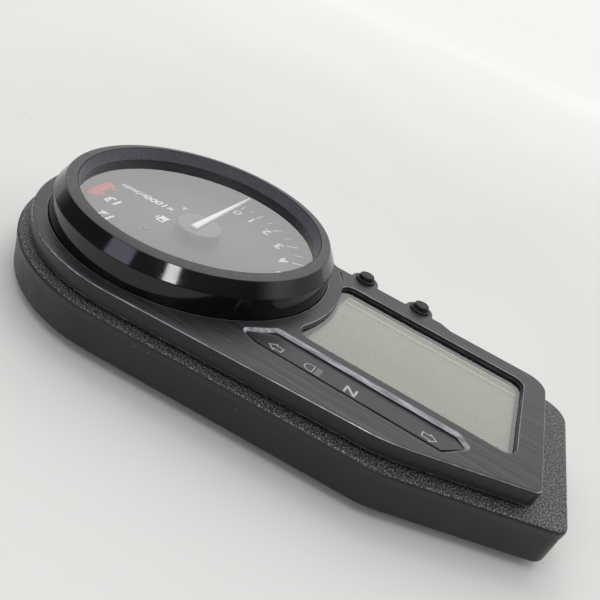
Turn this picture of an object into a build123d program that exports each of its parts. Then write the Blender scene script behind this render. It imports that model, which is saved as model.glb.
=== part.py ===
from build123d import *
import os
from math import acos, atan2, cos, hypot, pi, radians, sin, sqrt

# Motorcycle instrument cluster, in millimetres.
# While it is modelled, the origin is on the tachometer axis in the top plane of the face panel:
# +X is the cluster's right, +Y its top edge, +Z points out of the dial at the rider.
# The LCD wing reaches towards -X.  The last step moves every piece so that the origin is the
# bottom centre of the whole cluster, lying on its back on its three mounting bosses.

# ---------------------------------------------------------------- outline of the case flange
ROUND_R = 63.0          # round end, around the tachometer
WING_REACH = 158.6      # tachometer axis to the upper far corner of the wing
BEND = (WING_REACH - 56.0, 55.9)   # where the top edge turns down towards the wing's end
WING_TOP = 35.6         # height of the upper far corner
WING_LOW = 35.5         # lower edge of the wing, below the axis
SHELF = 38.0            # lower edge along the button shelf
SHELF_END = 96.5        # where the shelf steps back to the wing's lower edge
SHELF_RUN = 5.0         # length of that step
END_SLANT = 3.6         # degrees that the wing's end leans
TOP_CORNER_R = 6.0
LOW_CORNER_R = 10.0
BEND_R = 30.0           # of the flange where the top edge turns
NECK_R = 3.0            # inside corner between round end and shelf

# ---------------------------------------------------------------- ledges from flange to panel
LEDGE_ROUND = 3.7
LEDGE_TOP = 4.4
LEDGE_BEND = 2.8
LEDGE_CORNER = 1.0
LEDGE_END = 12.4
LEDGE_LOW = 2.5
LEDGE_SHELF = 2.8
PANEL_TOP_CORNER_R = 4.0
PANEL_LOW_CORNER_R = 8.0
PANEL_BEND_R = 55.0

# ---------------------------------------------------------------- depths below the panel's top
PANEL_PLATE = 1.8
PANEL_DEPTH = 6.0
PANEL_WALL = 1.6
PANEL_EDGE_R = 0.9
LEDGE_DEPTH = 7.4
FLANGE_THICK = 3.0
FLANGE_EDGE_R = 1.2
DECK_THICK = 1.6        # deck of the cover, under the panel's plate
DECK_WALL = 1.8
CASE_DEPTH = 22.6
CASE_WALL = 2.0
CASE_FLOOR = 2.0
CASE_SETBACK = 0.2
CASE_EDGE_R = 1.6
BOSS_DEPTH = CASE_DEPTH + 2.9      # end of the mounting bosses, which the cluster lies on
BOARD_DEPTH = 12.6      # front face of the circuit board
BOARD_THICK = 1.6

# ---------------------------------------------------------------- fits
FIT = 0.15              # located parts of the same body
SHOW_GAP = 0.4          # visible dark gap round the tachometer ring
RUN_FIT = 0.05          # radial clearance of a turning shaft
SLIDE_FIT = 0.2         # radial clearance of a push button

# ---------------------------------------------------------------- tachometer
RING_BASE_R = 53.9
RING_WAIST_R = 53.3
RING_WAIST_Z = 8.0
LIP_OUT_R = 50.0
LIP_OUT_Z = 12.9
LIP_IN_R = 46.2
LIP_IN_Z = 13.7
LENS_R = 47.5
LENS_TOP = 8.8
LENS_THICK = 2.0
LENS_VIEW_R = 45.2      # inner edge of the shoulder over the lens
SEAL_WIDTH = 1.9
SEAL_THICK = 0.8
DIAL_TOP = 0.1
DIAL_THICK = 0.5
GUIDE_THICK = 3.0
GUIDE_LIP = 2.5         # width of the cover's ledge under the light guide
HOOD_IN_R = 45.0        # inner radius of the dial hood
HOOD_TAPER = 0.7
DIAL_HOLE_R = 1.6
LAMP_POS = (13.3, 14.8)
LAMP_R = 1.5
REST_ANGLE = -88.5      # direction of the needle at rest, on the zero mark
NEEDLE_LENGTH = 42.3
NEEDLE_TAIL = 5.0
NEEDLE_ROOT_W = 2.8
NEEDLE_TIP_W = 1.0
NEEDLE_THICK = 1.0
HUB_R = 9.0
HUB_LOW = 0.8
HUB_TOP = 4.4
SHAFT_R = 0.75
SHAFT_TOP = 3.0

# ---------------------------------------------------------------- stepper motor
MOTOR_WALL = 1.2
MOTOR_TOP = 4.0         # depth of the motor's front face
BUSH_R = 2.4
GEAR_MODULE = 0.35
GEAR_TEETH = 48
PINION_TEETH = 12
MESH_GAP = 0.05
GEAR_THICK = 1.0
GEAR_DEPTH = 7.2        # depth of the gear's rear face
MAGNET_R = 2.6
PIN_R = 0.4
COIL_R = 1.2
COIL_LENGTH = 8.0
COIL_POS = (7.6, -3.4)  # middle of a coil, mirrored for the other one
COIL_LEAN = 62.0        # degrees that a coil leans
MOTOR_ROOM = 2.4        # from the rotor's far pitch circle to the motor's outside

# ---------------------------------------------------------------- groove beside the LCD
GROOVE_R = 60.3
GROOVE_WIDTH = 0.9
GROOVE_DEPTH = 0.5
GROOVE_SPAN = (204.0, 212.0)       # degrees round the tachometer

# ---------------------------------------------------------------- LCD
WINDOW_ARC_R = RING_BASE_R + 6.2   # concave end of the window, concentric with the tachometer
WINDOW_TOP = 24.4
WINDOW_LOW = 24.9
WINDOW_TOP_END = WING_REACH - 22.4
WINDOW_LOW_END = WING_REACH - 25.0
WINDOW_CORNER_R = 4.6
WINDOW_EDGE_R = 0.7
PANE_THICK = 1.5
PANE_LAP = 1.5          # how far the pane reaches behind the panel
HOLDER_LIP = 0.6
HOLDER_LAP = 2.0
HOLDER_WALL = 1.4
HOLDER_GAP = 0.1
MASK_INSET = 1.0        # how far the holder's mask reaches inside the window
GLASS_THICK = 1.1
CONTACT_LEDGE = 6.3     # bare strip of the front glass that carries the contacts
DIFFUSER_THICK = 3.1
CONTACT_WIDTH = 2.4

# ---------------------------------------------------------------- indicator strip
STRIP_IN_Y = 29.5
STRIP_OUT_Y = 41.2
STRIP_END = WING_REACH - 37.3          # the strip's far point
STRIP_POINTS = ((52.0, STRIP_IN_Y), (STRIP_END - 3.8, STRIP_IN_Y), (STRIP_END, 33.0),
                (STRIP_END - 6.9, STRIP_OUT_Y), (50.0, STRIP_OUT_Y), (44.0, 38.8))
STRIP_CORNER_R = 0.8
STRIP_BEVEL = 1.1       # sloping edge of the panel along the strip's inner side
STRIP_LAP = 1.2
STRIP_SINK_IN = 1.6     # depth of the lens along its inner edge
STRIP_SINK_OUT = 0.1
SYMBOL_X = (55.6, 69.1, 82.4, STRIP_END - 11.5)
LAMP_BOX = ((46.0, 31.0), (STRIP_END - 4.3, 40.0))
LAMP_BOX_WALL = 1.0

# ---------------------------------------------------------------- buttons
BUTTON_X = (61.2, 86.4)
BUTTON_Y = 36.3
PANEL_BOSS_R = 6.0
FLANGE_BOSS_R = 7.8
BOSS_BLEND_R = 1.4
CAP_R = 3.05
CAP_TOP = 2.6
CAP_LOW = 0.4
STEM_R = 2.0
COLLAR_R = CAP_R + 1.15
COLLAR_TOP = 0.9
COLLAR_NECK_R = CAP_R + 0.75
COLLAR_FLOOR = 0.8
BUTTON_TRAVEL = 0.6
SWITCH_SIDE = 6.0
SWITCH_HEIGHT = 3.3
PLUNGER_R = 1.75
PLUNGER_TOP = 7.6       # depth of the switch plunger's face
PLUNGER_LENGTH = 2.0

# ---------------------------------------------------------------- case fasteners and mounts
POST_R = 3.0
POST_INSET = 6.0
SCREW_R = 1.45
SCREW_HEAD_R = 3.4
SCREW_HEAD = 2.2
SINK_R = 3.7
SINK_FLOOR = CASE_DEPTH - 3.2
POST_END = SINK_FLOOR - 2.4        # depth where the cover's posts meet the case
SINK_WALL = 1.5
ROUND_SCREWS = (60.0, 5.0, -50.0, -140.0)   # degrees round the tachometer
TOP_SCREW = 45.0                             # along the top edge
SLOPE_SCREW = WING_REACH - 46.6              # along the sloping edge
END_SCREWS = (14.088, 63.088)                # down the wing's end from its upper corner
RIM_THICK = 3.4
RIM_HEIGHT = 1.8
GASKET_IN = 1.2
GASKET_WIDTH = 1.2
GASKET_DEPTH = 1.2
GASKET_SLACK = 0.1
MOUNTS = ((28.0, 38.0), (24.6 - WING_REACH, 16.0), (-20.0, -42.0))
MOUNT_BOSS_R = 6.5
MOUNT_HOLE_R = 2.1
INSERT_R = 3.6
INSERT_LENGTH = 8.0
MOUNT_CAP = 1.0
RIB_THICK = 1.2
RIB_HEIGHT = 2.0
RIB_RING_R = 30.0
RIB_START = 32.6 - WING_REACH
RIB_LENGTH = 12.0
RIB_Y = (-14.0, 30.0)

# ---------------------------------------------------------------- circuit board
BOARD_INSET = 9.6
TAB_R = 5.0
TAB_ROOT = 20.0
BOARD_POST_R = 2.4
BOARD_POST_RING = 47.5
BOARD_POST_ANGLES = (45.0, 135.0, 225.0, 315.0)
WING_POST = (28.6 - WING_REACH, 32.2)
BOARD_SCREW_R = 1.15
BOARD_SCREW_TIP = 6.6
BOARD_HEAD_R = 2.3
BOARD_HEAD = 1.4
LED_SIZE = (3.2, 2.8, 1.4)
BACKLIGHT_SHARES = (0.14, 0.38, 0.62, 0.86)  # of the holder's length
BACKLIGHT_Y = (-9.0, 12.0)
DIAL_LEDS = 6
DIAL_LED_RING = 38.0
DIAL_LED_START = 15.0              # degrees round the tachometer
CHIPS = ((-30.0, -12.0, 14.0, 14.0, 1.6), (-100.0, 12.0, 12.0, 12.0, 1.6), (-84.0, -12.0, 10.0, 6.0, 1.8),
         (20.0, 22.0, 6.0, 5.0, 2.0), (-20.0, 26.0, 9.0, 6.5, 2.4), (26.0, -18.0, 8.0, 4.0, 1.5))

# ---------------------------------------------------------------- connector and vent
PLUG_POS = (-58.0, 8.0)
PLUG_SIZE = (34.0, 13.0)
PLUG_WALL = 1.4
PLUG_BASE = 3.6
PLUG_END = CASE_DEPTH + 2.3
PLUG_GAP = 0.4
PIN_COLUMNS = 8
PIN_PITCH = 3.4
ROW_PITCH = 4.4
BLADE = 0.64
BLADE_END = PLUG_END - 5.2
VENT_POS = (54.6 - WING_REACH, -14.0)
VENT_R = 5.0
VENT_NECK_R = 3.0
VENT_PROUD = 0.8

# ---------------------------------------------------------------- worked-out levels
DECK_TOP = -PANEL_PLATE
DECK_LOW = DECK_TOP - DECK_THICK
FLANGE_LOW = -LEDGE_DEPTH - FLANGE_THICK
BOARD_TOP = -BOARD_DEPTH
BOARD_LOW = BOARD_TOP - BOARD_THICK
FLOOR_TOP = -CASE_DEPTH + CASE_FLOOR
LENS_LOW = LENS_TOP - LENS_THICK
DIAL_LOW = DIAL_TOP - DIAL_THICK
GUIDE_LOW = DIAL_LOW - GUIDE_THICK
WELL_R = LENS_R + FIT
PANE_LOW = DECK_TOP - PANE_THICK
SEAT_LOW = min(DECK_LOW, PANE_LOW - HOLDER_GAP)    # the deck's openings clear the panes down to here
HOLDER_TOP = SEAT_LOW - HOLDER_GAP
GLASS_TOP = HOLDER_TOP - HOLDER_LIP
BACK_GLASS_TOP = GLASS_TOP - GLASS_THICK
DIFFUSER_TOP = BACK_GLASS_TOP - GLASS_THICK
MOTOR_CEILING = -MOTOR_TOP - MOTOR_WALL
MOTOR_FLOOR = BOARD_TOP + MOTOR_WALL
PANEL_INNER = PANEL_WALL + FIT + DECK_WALL
GEAR_R = GEAR_MODULE * GEAR_TEETH / 2
PINION_R = GEAR_MODULE * PINION_TEETH / 2
ROTOR_POS = (0.0, -(GEAR_R + PINION_R + MESH_GAP))
MOTOR_R = GEAR_R + 2 * PINION_R + MOTOR_ROOM


def slab(face, low, high):
    """A flat face in the XY plane, made solid between two heights."""
    return extrude(Pos(0, 0, low) * face, amount=high - low)


def rod(x, y, radius, low, high):
    return Pos(x, y, low) * Cylinder(radius, high - low, align=(Align.CENTER, Align.CENTER, Align.MIN))


def tube(x, y, inner, outer, low, high):
    return rod(x, y, outer, low, high) - rod(x, y, inner, low, high)


def block(x0, x1, y0, y1, low, high):
    box = Box(x1 - x0, y1 - y0, high - low, align=(Align.MIN, Align.MIN, Align.MIN))
    return Pos(x0, y0, low) * box


def polygon(points):
    return make_face(Polyline(*points, close=True))


def edge_at(part, z):
    """Every edge that lies flat at height z."""
    return part.edges().filter_by(lambda e: abs(e.bounding_box().min.Z - z) < 1e-4
                                  and abs(e.bounding_box().max.Z - z) < 1e-4)


def rounded(body, corners, radius):
    """The body with the upright edges nearest to some (x, y) corners rounded."""
    upright = body.edges().filter_by(Axis.Z)
    return fillet([min(upright, key=lambda e: hypot(e.center().X - x, e.center().Y - y)) for x, y in corners],
                  radius)


def line_through(a, b):
    """Outward unit normal and distance of the line from a to b, walked anticlockwise."""
    dx, dy = b[0] - a[0], b[1] - a[1]
    length = hypot(dx, dy)
    nx, ny = dy / length, -dx / length
    return nx, ny, nx * a[0] + ny * a[1]


def meet(first, second):
    (a, b, c), (d, e, f) = first, second
    det = a * e - b * d
    return (c * e - b * f) / det, (a * f - c * d) / det


def on_edge(line, inset, distance):
    """A point a distance inside a line, and a distance along it from the foot of the origin."""
    nx, ny, d = line
    return nx * (d - inset) - ny * distance, ny * (d - inset) + nx * distance


def along(line, point):
    """How far along a line a point lies from the foot of the origin."""
    nx, ny, _ = line
    return nx * point[1] - ny * point[0]


def wing_lines(round_r, bend, reach, top, low, shelf, shelf_end):
    """The straight edges of an outline, from the round end's top tangent round to the shelf."""
    bend_angle = atan2(bend[1], -bend[0])
    tangent = bend_angle - acos(round_r / hypot(*bend))
    slant = radians(END_SLANT)
    corner = (-reach, top)
    end = line_through(corner, (corner[0] + sin(slant), corner[1] - cos(slant)))
    step = line_through((-shelf_end - SHELF_RUN, -low), (-shelf_end, -shelf))
    return [(cos(tangent), sin(tangent), round_r), line_through((-bend[0], bend[1]), corner), end,
            (0.0, -1.0, low), step, (0.0, -1.0, shelf)]


def wing(lines, boss_r, corner_radii, inset, low, high):
    """A slab of the cluster's outline, or of a parallel copy a distance inside it."""
    lines = [(nx, ny, d - inset) for nx, ny, d in lines]
    radius = lines[0][2]
    tangent = (lines[0][0] * radius, lines[0][1] * radius)
    corners = [meet(a, b) for a, b in zip(lines, lines[1:])]
    shelf_y = -lines[-1][2]
    face = polygon([tangent, *corners, (0.0, shelf_y), (0.0, 0.0)]) + Circle(radius)
    blends, blend_r, reach = [], BOSS_BLEND_R, BUTTON_Y + shelf_y
    if boss_r > inset:
        boss = boss_r - inset
        half = boss if reach > 0 else sqrt(boss ** 2 - reach ** 2)
        for x in BUTTON_X:
            face = face + Pos(-x, -BUTTON_Y) * Circle(boss)
            blends += [(-x - half, shelf_y), (-x + half, shelf_y)]
            if reach > 0:
                face = face + Pos(-x, -BUTTON_Y / 2) * Rectangle(2 * boss, BUTTON_Y)
                blend_r = min(BOSS_BLEND_R, 0.8 * reach)
    body = slab(face, low, high)
    for corner, corner_r in zip(corners[:3], corner_radii):
        if corner_r > inset:
            body = rounded(body, [corner], corner_r - inset)
    body = rounded(body, [(-sqrt(radius ** 2 - shelf_y ** 2), shelf_y)], NECK_R)
    return rounded(body, blends, blend_r) if blends else body


FLANGE_LINES = wing_lines(ROUND_R, BEND, WING_REACH, WING_TOP, WING_LOW, SHELF, SHELF_END)
PANEL_LINES = wing_lines(ROUND_R - LEDGE_ROUND, (BEND[0] - LEDGE_BEND, BEND[1] - LEDGE_TOP),
                         WING_REACH - LEDGE_END, WING_TOP - LEDGE_CORNER, WING_LOW - LEDGE_LOW,
                         SHELF - LEDGE_SHELF, SHELF_END)


def flange_slab(inset, low, high, boss_r=FLANGE_BOSS_R):
    return wing(FLANGE_LINES, boss_r, (BEND_R, TOP_CORNER_R, LOW_CORNER_R), inset, low, high)


def panel_slab(inset, low, high):
    radii = (PANEL_BEND_R, PANEL_TOP_CORNER_R, PANEL_LOW_CORNER_R)
    return wing(PANEL_LINES, PANEL_BOSS_R, radii, inset, low, high)


def window_slab(grow, low, high):
    """LCD window: a block with a concave end that follows the tachometer."""
    arc_r = WINDOW_ARC_R - grow
    top_y, low_y = WINDOW_TOP + grow, -WINDOW_LOW - grow
    nx, ny, d = line_through((-WINDOW_TOP_END, WINDOW_TOP), (-WINDOW_LOW_END, -WINDOW_LOW))
    end = (nx, ny, d + grow)
    end_top, end_low = meet(end, (0.0, 1.0, top_y)), meet(end, (0.0, 1.0, low_y))
    inner_x = -arc_r / 2
    body = slab(polygon([end_top, end_low, (inner_x, low_y), (inner_x, top_y)]) - Circle(arc_r), low, high)
    arc_ends = [(-sqrt(arc_r ** 2 - y ** 2), y) for y in (top_y, low_y)]
    return rounded(body, [end_top, end_low, *arc_ends], WINDOW_CORNER_R + grow)


def strip_slab(grow, low, high):
    """Indicator strip: a long wedge-ended slot above the LCD."""
    points = [(-x, y) for x, y in STRIP_POINTS]
    lines = [line_through(a, b) for a, b in zip(points, points[1:] + points[:1])]
    turn = 1.0 if lines[0][1] < 0 else -1.0
    lines = [(nx * turn, ny * turn, d * turn + grow) for nx, ny, d in lines]
    corners = [meet(a, b) for a, b in zip(lines[-1:] + lines[:-1], lines)]
    return rounded(slab(polygon(corners), low, high), corners, STRIP_CORNER_R)


def screw_places():
    places = [((ROUND_R - POST_INSET) * cos(radians(a)), (ROUND_R - POST_INSET) * sin(radians(a)))
              for a in ROUND_SCREWS]
    places.append(on_edge(FLANGE_LINES[0], POST_INSET, TOP_SCREW))
    places.append(on_edge(FLANGE_LINES[1], POST_INSET, SLOPE_SCREW))
    end = FLANGE_LINES[2]
    start = along(end, (-WING_REACH, WING_TOP))
    places.extend(on_edge(end, POST_INSET, start + a) for a in END_SCREWS)
    return places


def board_screw_places():
    ring = [(BOARD_POST_RING * cos(radians(a)), BOARD_POST_RING * sin(radians(a))) for a in BOARD_POST_ANGLES]
    return ring + [WING_POST]


# ================================================================ shells
def face_panel():
    """Brushed face plate with a short skirt, cut for the tachometer, the LCD and the strip."""
    body = panel_slab(0, -PANEL_DEPTH, 0)
    body = fillet(edge_at(body, 0), PANEL_EDGE_R)
    body -= panel_slab(PANEL_WALL, -PANEL_DEPTH, -PANEL_PLATE)
    outside = edge_at(body, 0)
    body -= window_slab(0, -PANEL_PLATE, 0)
    rim = [e for e in edge_at(body, 0) if min(e.distance_to(old) for old in outside) > WINDOW_EDGE_R]
    body = fillet(rim, WINDOW_EDGE_R)
    body -= rod(0, 0, RING_BASE_R + SHOW_GAP, -PANEL_PLATE, 0)
    before_strip = edge_at(body, 0)
    body -= strip_slab(0, -PANEL_PLATE, 0)
    sloped = [e for e in edge_at(body, 0) if min(e.distance_to(old) for old in before_strip) > STRIP_BEVEL
              and e.bounding_box().max.Y < STRIP_OUT_Y - STRIP_BEVEL]
    body = chamfer(sloped, STRIP_BEVEL)
    for x in BUTTON_X:
        body -= rod(-x, -BUTTON_Y, COLLAR_NECK_R + FIT / 2, -PANEL_PLATE, 0)
    return body - arc_groove()


def arc_groove():
    """Shallow curved groove between the round zone and the LCD zone, at the shelf side."""
    ring = tube(0, 0, GROOVE_R - GROOVE_WIDTH / 2, GROOVE_R + GROOVE_WIDTH / 2, -GROOVE_DEPTH, 0)
    far = 2 * GROOVE_R
    ends = [(far * cos(radians(a)), far * sin(radians(a))) for a in GROOVE_SPAN]
    return ring & slab(polygon([(0, 0), *ends]), -GROOVE_DEPTH, 0)


def cover_frame():
    """Front cover: textured flange, raised deck under the panel, posts for screws and board."""
    body = fillet(edge_at(flange_slab(0, FLANGE_LOW, -LEDGE_DEPTH), -LEDGE_DEPTH), FLANGE_EDGE_R)
    body += panel_slab(PANEL_WALL + FIT, -LEDGE_DEPTH, DECK_TOP)
    body -= panel_slab(PANEL_INNER, FLANGE_LOW, DECK_LOW)
    body -= rod(0, 0, WELL_R, DECK_LOW, DECK_TOP)
    body += tube(0, 0, WELL_R - GUIDE_LIP, WELL_R + GUIDE_LIP, DECK_LOW - DECK_THICK, GUIDE_LOW)
    for x in BUTTON_X:
        body -= rod(-x, -BUTTON_Y, STEM_R + SLIDE_FIT, DECK_LOW, DECK_TOP)
        pocket = SWITCH_SIDE / 2 + FIT
        body -= block(-x - pocket, -x + pocket, -BUTTON_Y - pocket, -BUTTON_Y + pocket,
                      FLANGE_LOW, BOARD_TOP + SWITCH_HEIGHT + FIT)
    for x, y in screw_places():
        body += rod(x, y, POST_R, -POST_END, -LEDGE_DEPTH - FLANGE_THICK / 2)
        body -= rod(x, y, SCREW_R + RUN_FIT, -POST_END, -LEDGE_DEPTH - FLANGE_THICK / 2)
    for x, y in board_screw_places():
        body += rod(x, y, BOARD_POST_R, BOARD_TOP, DECK_LOW)
        body -= rod(x, y, BOARD_SCREW_R + RUN_FIT, BOARD_TOP, -BOARD_SCREW_TIP)
    body -= window_slab(PANE_LAP + FIT, SEAT_LOW, DECK_TOP)
    return body - strip_slab(STRIP_LAP + FIT, SEAT_LOW, DECK_TOP)


def rear_case():
    """Deep rear tub with a gasket rim, screw wells and three mounting bosses."""
    body = flange_slab(CASE_SETBACK, -CASE_DEPTH, FLANGE_LOW)
    body = fillet(edge_at(body, -CASE_DEPTH), CASE_EDGE_R)
    body -= flange_slab(CASE_SETBACK + CASE_WALL, FLOOR_TOP, FLANGE_LOW - RIM_HEIGHT)
    body -= flange_slab(CASE_SETBACK + RIM_THICK, FLANGE_LOW - RIM_HEIGHT, FLANGE_LOW)
    body -= gasket_band(CASE_SETBACK + GASKET_IN, GASKET_WIDTH)
    inside = flange_slab(CASE_SETBACK + CASE_WALL / 2, -CASE_DEPTH, FLANGE_LOW)
    for x, y in screw_places():
        body += rod(x, y, SINK_R + SINK_WALL, -CASE_DEPTH + CASE_FLOOR / 2, -POST_END) & inside
        body -= rod(x, y, SINK_R, -CASE_DEPTH, -SINK_FLOOR)
        body -= rod(x, y, SCREW_R + RUN_FIT, -SINK_FLOOR, -POST_END)
        body -= rod(x, y, POST_R + FIT, -POST_END, FLANGE_LOW)
    for x, y in MOUNTS:
        top = -BOSS_DEPTH + INSERT_LENGTH + MOUNT_CAP
        body += rod(x, y, MOUNT_BOSS_R, -BOSS_DEPTH, top)
        body -= rod(x, y, INSERT_R, -BOSS_DEPTH, -BOSS_DEPTH + INSERT_LENGTH)
    body -= plug_block(PLUG_GAP, -CASE_DEPTH, FLOOR_TOP)
    body -= rod(*VENT_POS, VENT_NECK_R, -CASE_DEPTH, FLOOR_TOP)
    return body + rear_ribs()


def rear_ribs():
    """Low stiffening ribs inside the floor."""
    low, high = FLOOR_TOP - RIB_THICK, FLOOR_TOP + RIB_HEIGHT
    ring = tube(0, 0, RIB_RING_R - RIB_THICK, RIB_RING_R, low, high)
    return ring + [block(RIB_START, RIB_START + RIB_LENGTH, y, y + RIB_THICK, low, high) for y in RIB_Y]


def gasket_band(inset, width):
    """A band that runs all the way round the rim."""
    low = FLANGE_LOW - GASKET_DEPTH
    return flange_slab(inset, low, FLANGE_LOW) - flange_slab(inset + width, low, FLANGE_LOW)


def case_gasket():
    return gasket_band(CASE_SETBACK + GASKET_IN + GASKET_SLACK, GASKET_WIDTH - 2 * GASKET_SLACK)


def cross_screw(x, y, shank_r, head_r, head, seat, tip):
    """Pan-head screw that points up, with a cross recess in its head."""
    body = rod(x, y, shank_r, seat, tip) + rod(x, y, head_r, seat - head, seat)
    body = fillet(edge_at(body, seat - head), head / 3)
    arm, width, deep = head_r * 1.1, head_r * 0.26, head * 0.55
    for long_x, long_y in ((arm, width), (width, arm)):
        body -= block(x - long_x / 2, x + long_x / 2, y - long_y / 2, y + long_y / 2,
                      seat - head, seat - head + deep)
    return body


def case_screws():
    tip = FLANGE_LOW
    return [cross_screw(x, y, SCREW_R, SCREW_HEAD_R, SCREW_HEAD, -SINK_FLOOR, tip) for x, y in screw_places()]


def mount_inserts():
    """Brass inserts whose holes take the fixing screws."""
    return [tube(x, y, MOUNT_HOLE_R, INSERT_R, -BOSS_DEPTH, -BOSS_DEPTH + INSERT_LENGTH) for x, y in MOUNTS]


def vent_plug():
    neck = rod(*VENT_POS, VENT_NECK_R, -CASE_DEPTH, FLOOR_TOP)
    cap = rod(*VENT_POS, VENT_R, -CASE_DEPTH - VENT_PROUD, -CASE_DEPTH)
    body = fillet(edge_at(neck + cap, -CASE_DEPTH - VENT_PROUD), VENT_PROUD / 2)
    return body - rod(*VENT_POS, VENT_NECK_R / 3, -CASE_DEPTH - VENT_PROUD, FLOOR_TOP)


# ================================================================ tachometer
def turned(points):
    """A solid turned about the tachometer axis from (radius, height) points."""
    face = make_face(Polyline(*[(r, 0, z) for r, z in points], close=True))
    return revolve(face, Axis.Z)


def tach_ring():
    """Deep gloss ring: upright lower band, cone, flat lip, and a shoulder over the lens."""
    points = [(WELL_R, DECK_TOP), (RING_BASE_R, DECK_TOP), (RING_BASE_R, 0.0), (RING_WAIST_R, RING_WAIST_Z),
              (LIP_OUT_R, LIP_OUT_Z), (LIP_IN_R, LIP_IN_Z), (LENS_VIEW_R, LENS_TOP), (WELL_R, LENS_TOP)]
    body = turned(points)
    for z, radius in ((RING_WAIST_Z, 0.6), (LIP_OUT_Z, 0.5), (LIP_IN_Z, 0.3)):
        body = fillet(edge_at(body, z), radius)
    return body


def tach_lens():
    return rod(0, 0, LENS_R, LENS_LOW, LENS_TOP)


def tach_lens_seal():
    return tube(0, 0, LENS_R - SEAL_WIDTH, LENS_R, LENS_LOW - SEAL_THICK, LENS_LOW)


def dial_hood():
    """Black wall between the dial and the lens."""
    top = LENS_LOW - SEAL_THICK
    return turned([(HOOD_IN_R, DIAL_TOP), (LENS_R, DIAL_TOP), (LENS_R, top), (HOOD_IN_R + HOOD_TAPER, top)])


def dial_face():
    body = rod(0, 0, LENS_R, DIAL_LOW, DIAL_TOP) - rod(0, 0, DIAL_HOLE_R, DIAL_LOW, DIAL_TOP)
    return body - rod(*LAMP_POS, LAMP_R, DIAL_LOW, DIAL_TOP)


def dial_light_guide():
    body = rod(0, 0, LENS_R, GUIDE_LOW, DIAL_LOW) - rod(0, 0, BUSH_R + FIT, GUIDE_LOW, DIAL_LOW)
    return body - rod(*LAMP_POS, LAMP_R, GUIDE_LOW, DIAL_LOW)


def fuel_lamp():
    """Small domed warning lamp that shows through the dial."""
    body = rod(*LAMP_POS, LAMP_R, GUIDE_LOW, DIAL_TOP + 0.4)
    return fillet(edge_at(body, DIAL_TOP + 0.4), 0.3)


def needle_pointer():
    tail, tip = NEEDLE_ROOT_W / 2, NEEDLE_TIP_W / 2
    face = polygon([(-NEEDLE_TAIL, -tail), (NEEDLE_LENGTH, -tip), (NEEDLE_LENGTH, tip), (-NEEDLE_TAIL, tail)])
    body = slab(face, HUB_TOP, HUB_TOP + NEEDLE_THICK)
    body = chamfer(edge_at(body, HUB_TOP + NEEDLE_THICK), 0.25)
    return Rot(0, 0, REST_ANGLE) * body


def needle_hub():
    body = fillet(edge_at(rod(0, 0, HUB_R, HUB_LOW, HUB_TOP), HUB_TOP), 0.6)
    return body - rod(0, 0, SHAFT_R, HUB_LOW, SHAFT_TOP)


def needle_shaft():
    return rod(0, 0, SHAFT_R, MOTOR_FLOOR - MOTOR_WALL * 0.75, SHAFT_TOP)


# ================================================================ stepper motor
def gear_face(teeth):
    """A spur gear with slim straight-sided teeth, one of them on +X."""
    pitch_r = GEAR_MODULE * teeth / 2
    root_r, tip_r = pitch_r - 1.25 * GEAR_MODULE, pitch_r + 0.8 * GEAR_MODULE
    half_root, half_tip = 0.26 * pi * GEAR_MODULE / root_r, 0.1 * pi * GEAR_MODULE / tip_r
    points = []
    for tooth in range(teeth):
        middle = 2 * pi * tooth / teeth
        for radius, turn in ((root_r, -half_root), (tip_r, -half_tip), (tip_r, half_tip), (root_r, half_root)):
            points.append((radius * cos(middle + turn), radius * sin(middle + turn)))
    return polygon(points)


def motor_gear():
    """Output gear on the needle shaft, with a tooth towards the rotor."""
    wheel = slab(gear_face(GEAR_TEETH), -GEAR_DEPTH, -GEAR_DEPTH + GEAR_THICK)
    hub = rod(0, 0, SHAFT_R * 2.6, -GEAR_DEPTH - 1.0, -GEAR_DEPTH)
    body = wheel + hub - rod(0, 0, SHAFT_R, -GEAR_DEPTH - 1.0, -GEAR_DEPTH + GEAR_THICK)
    return Rot(0, 0, -90) * body


def motor_rotor():
    """Magnet and pinion, with a gap between two pinion teeth on the output gear's tooth."""
    x, y = ROTOR_POS
    pinion_low, pinion_high = -GEAR_DEPTH - 0.3, -GEAR_DEPTH + GEAR_THICK + 0.2
    magnet_low = MOTOR_FLOOR + 0.5
    pinion = Pos(x, y, 0) * (Rot(0, 0, 90 + 180 / PINION_TEETH)
                             * slab(gear_face(PINION_TEETH), pinion_low, pinion_high))
    body = pinion + rod(x, y, MAGNET_R, magnet_low, pinion_low)
    return body - rod(x, y, PIN_R + RUN_FIT, magnet_low, pinion_high)


def rotor_pin():
    return rod(*ROTOR_POS, PIN_R, MOTOR_FLOOR, MOTOR_CEILING)


def motor_coils():
    coils = []
    for side in (-1, 1):
        place = Pos(side * COIL_POS[0], COIL_POS[1], MOTOR_FLOOR + COIL_R) * Rot(0, 0, side * COIL_LEAN)
        coils.append(place * (Rot(0, 90, 0) * Cylinder(COIL_R, COIL_LENGTH)))
    return coils


def motor_case():
    body = rod(0, 0, MOTOR_R, BOARD_TOP, -MOTOR_TOP) - rod(0, 0, MOTOR_R - MOTOR_WALL, BOARD_TOP, MOTOR_CEILING)
    body = fillet(edge_at(body, -MOTOR_TOP), 0.5)
    body += rod(0, 0, BUSH_R, -MOTOR_TOP, GUIDE_LOW + DIAL_THICK)
    return body - rod(0, 0, SHAFT_R + RUN_FIT, MOTOR_CEILING, GUIDE_LOW + DIAL_THICK)


def motor_cover():
    body = rod(0, 0, MOTOR_R - MOTOR_WALL, BOARD_TOP, MOTOR_FLOOR)
    return body - rod(0, 0, SHAFT_R + RUN_FIT, BOARD_TOP + MOTOR_WALL * 0.2, MOTOR_FLOOR)


# ================================================================ LCD
def lcd_pane():
    """Clear pane bonded behind the panel's window."""
    return window_slab(PANE_LAP, PANE_LOW, DECK_TOP)


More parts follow.
